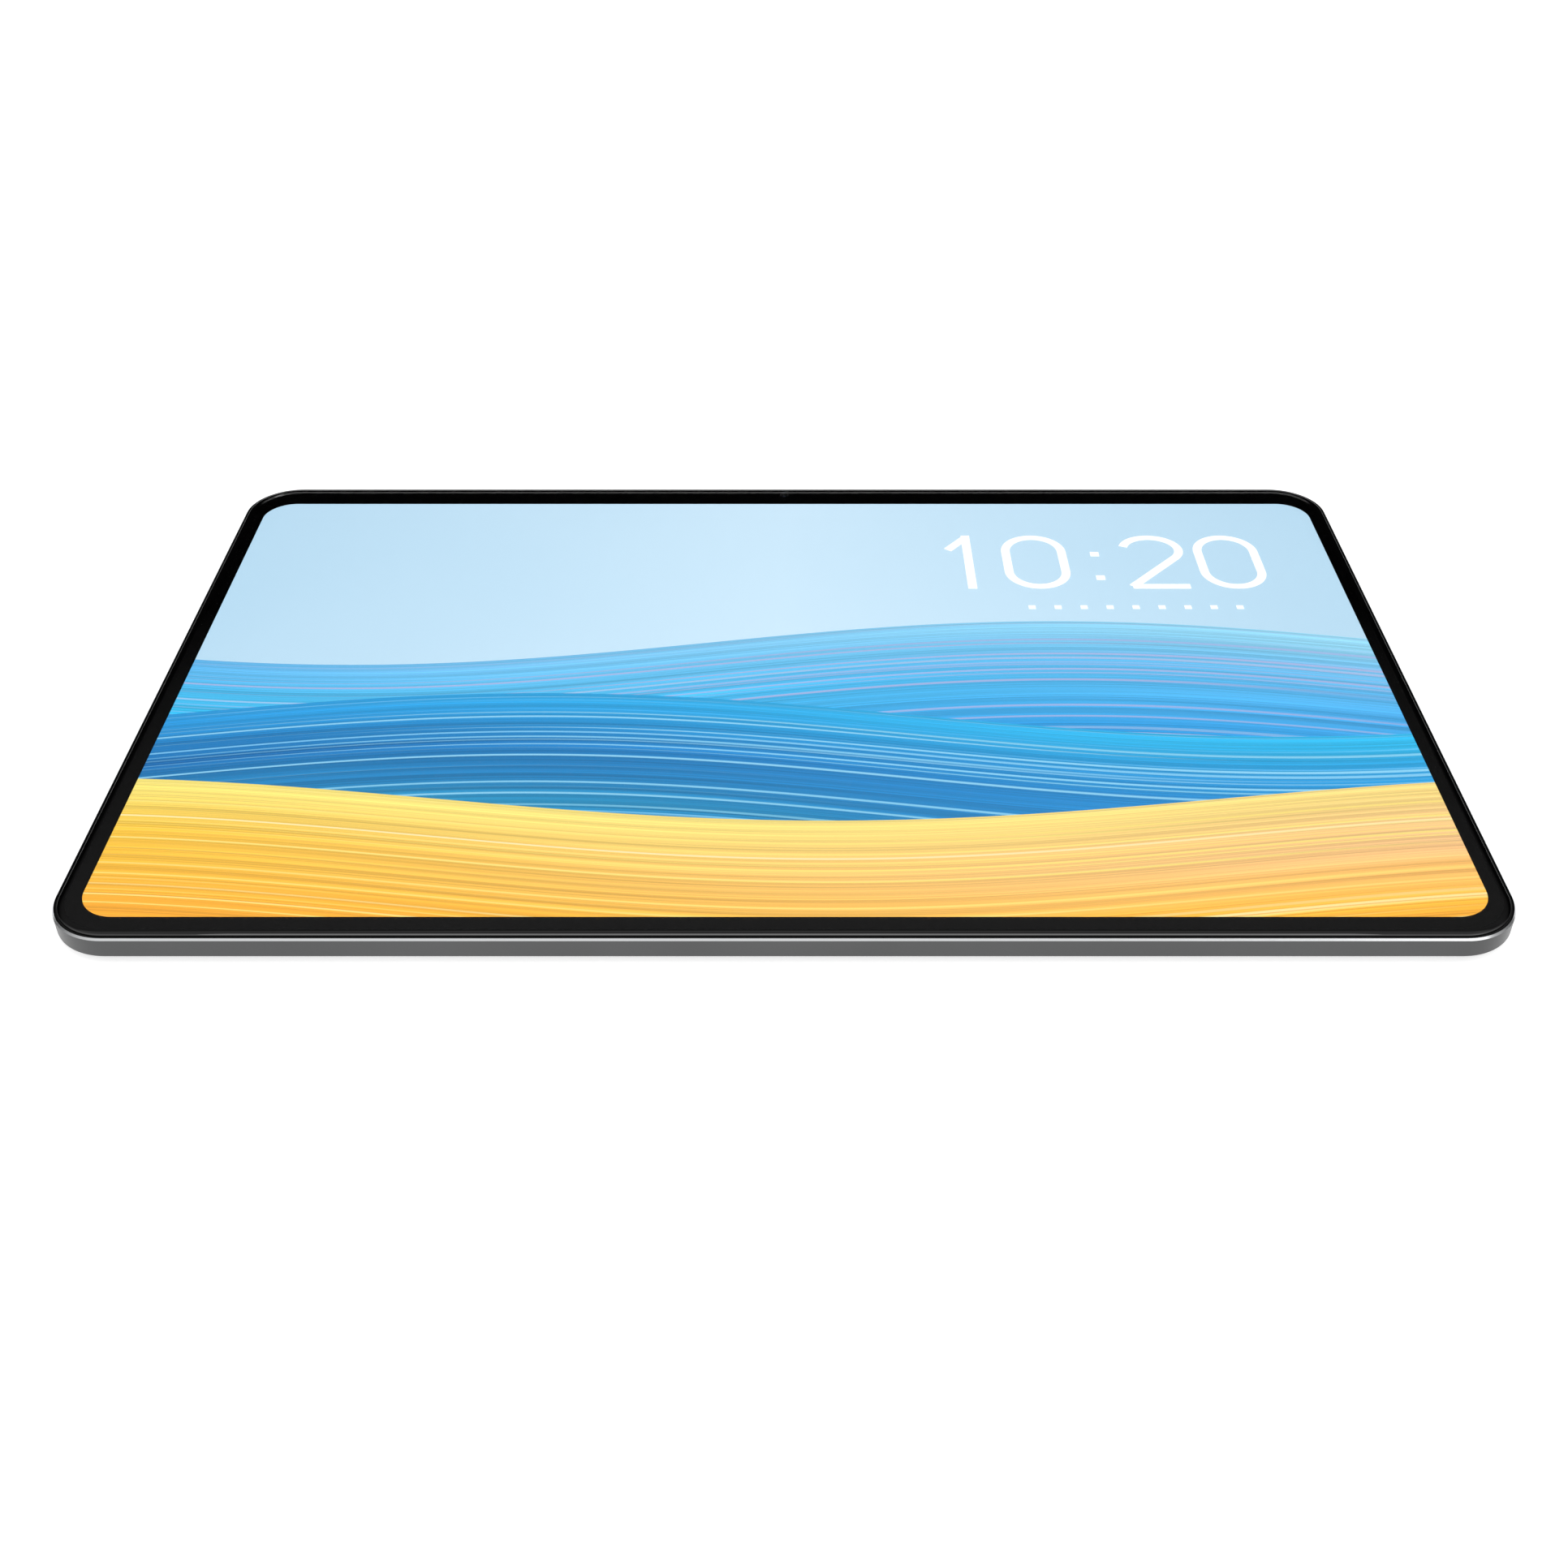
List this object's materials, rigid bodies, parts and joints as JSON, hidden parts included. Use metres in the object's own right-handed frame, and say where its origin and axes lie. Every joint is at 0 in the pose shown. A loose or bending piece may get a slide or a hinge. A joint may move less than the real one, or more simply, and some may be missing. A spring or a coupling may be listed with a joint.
{
  "type": "tablet computer",
  "caption": "Thin flat touchscreen tablet computer with an aluminium tray housing, a curved-edge cover glass, side keys, a card tray and an edge socket.",
  "frame": {"origin": "centre of the flat back, on the surface that the tablet lies on", "axes": "+X along the long side, +Y towards the edge with the front camera, +Z out of the screen"},
  "size_m": [0.2713, 0.1713, 0.0064],
  "materials": {
    "housing_aluminium": "fine bead-blasted dark grey anodised, polished rim chamfer",
    "cover_glass": "polished, curved edge, black print under the border",
    "black_plastic": "fine moulded texture",
    "black_tape": "matt adhesive foam",
    "display_cell": "lit picture",
    "backlight": "white film stack",
    "sheet_steel": "stamped, cold rolled",
    "screw_steel": "black zinc",
    "socket_steel": "drawn, nickel plated",
    "circuit_board": "solder mask",
    "flex_circuit": "polyimide film",
    "battery_pouch": "black pouch foil",
    "speaker_plastic": "glass-filled moulding",
    "speaker_mesh": "black woven mesh",
    "antenna_plastic": "satin, close to the housing's colour",
    "camera_module": "black moulding",
    "camera_ring": "turned, anodised",
    "camera_window": "polished, black print with a clear aperture",
    "flash_lens": "frosted"
  },
  "bodies": {
    "body": {"rear_housing": "housing_aluminium", "cover_glass": "cover_glass", "screen_bezel_frame": "black_plastic", "glass_adhesive": "black_tape", "lcd_panel": "display_cell", "backlight_unit": "backlight", "display_back_plate": "sheet_steel", "display_driver_board": "circuit_board", "display_flex": "flex_circuit", "front_camera_module": "camera_module", "main_board": "circuit_board", "power_shield": "sheet_steel", "processor_shield": "sheet_steel", "radio_shield": "sheet_steel", "board_screw_1": "screw_steel", "board_screw_2": "screw_steel", "board_screw_3": "screw_steel", "board_screw_4": "screw_steel", "usb_board": "circuit_board", "usb_c_shell": "socket_steel", "usb_c_tongue": "black_plastic", "interconnect_flex": "flex_circuit", "battery_cell_left": "battery_pouch", "battery_adhesive_left": "black_tape", "battery_cell_right": "battery_pouch", "battery_adhesive_right": "black_tape", "battery_protection_board": "circuit_board", "battery_connector": "black_plastic", "speaker_box_left_near": "speaker_plastic", "speaker_mesh_left_near": "speaker_mesh", "speaker_box_left_far": "speaker_plastic", "speaker_mesh_left_far": "speaker_mesh", "speaker_box_right_near": "speaker_plastic", "speaker_mesh_right_near": "speaker_mesh", "speaker_box_right_far": "speaker_plastic", "speaker_mesh_right_far": "speaker_mesh", "microphone_left": "sheet_steel", "microphone_right": "sheet_steel", "antenna_window": "antenna_plastic", "antenna_left": "flex_circuit", "antenna_right": "flex_circuit", "power_switch": "sheet_steel", "power_bracket": "sheet_steel", "volume_up_switch": "sheet_steel", "volume_down_switch": "sheet_steel", "volume_bracket": "sheet_steel", "card_reader_cover": "sheet_steel", "card_reader_base": "black_plastic", "eject_pivot": "screw_steel", "rear_camera_module": "camera_module", "rear_camera_ring": "camera_ring", "rear_camera_window": "camera_window", "flash_lens": "flash_lens"},
    "power_key": {"power_button": "housing_aluminium"},
    "volume_key": {"volume_rocker": "housing_aluminium"},
    "ejector_rod": {"eject_rod": "sheet_steel"},
    "ejector_lever": {"eject_lever": "sheet_steel"},
    "ejector_slider": {"eject_slider": "sheet_steel"},
    "tray": {"card_tray": "housing_aluminium"}
  },
  "joints": [
    {"name": "power_press", "type": "slide", "parent": "body", "child": "power_key", "axis": [1, 0, 0], "range_m": [0, 0.0003], "stiffness_N_per_m": 1500},
    {"name": "volume_rock", "type": "hinge", "parent": "body", "child": "volume_key", "pos_m": [-0.096, 0.0838, 0.00365], "axis": [0, 0, 1], "range_deg": [-1.1, 1.1], "stiffness_Nm_per_rad": 0.5},
    {"name": "eject_push", "type": "slide", "parent": "body", "child": "ejector_rod", "axis": [0, -1, 0], "range_m": [0, 0.00125]},
    {"name": "lever_turn", "type": "hinge", "parent": "body", "child": "ejector_lever", "pos_m": [0.0885, 0.0586, 0.0036], "axis": [0, 0, -1], "range_deg": [0, 16.6]},
    {"name": "slider_push", "type": "slide", "parent": "body", "child": "ejector_slider", "axis": [0, 1, 0], "range_m": [0, 0.00126]},
    {"name": "tray_pull", "type": "slide", "parent": "ejector_slider", "child": "tray", "axis": [0, 1, 0], "range_m": [0, 0.024]}
  ],
  "couplings": [
    {"joint": "lever_turn", "follows": "eject_push", "rad_per_m": 230},
    {"joint": "slider_push", "follows": "eject_push", "ratio": 1}
  ]
}
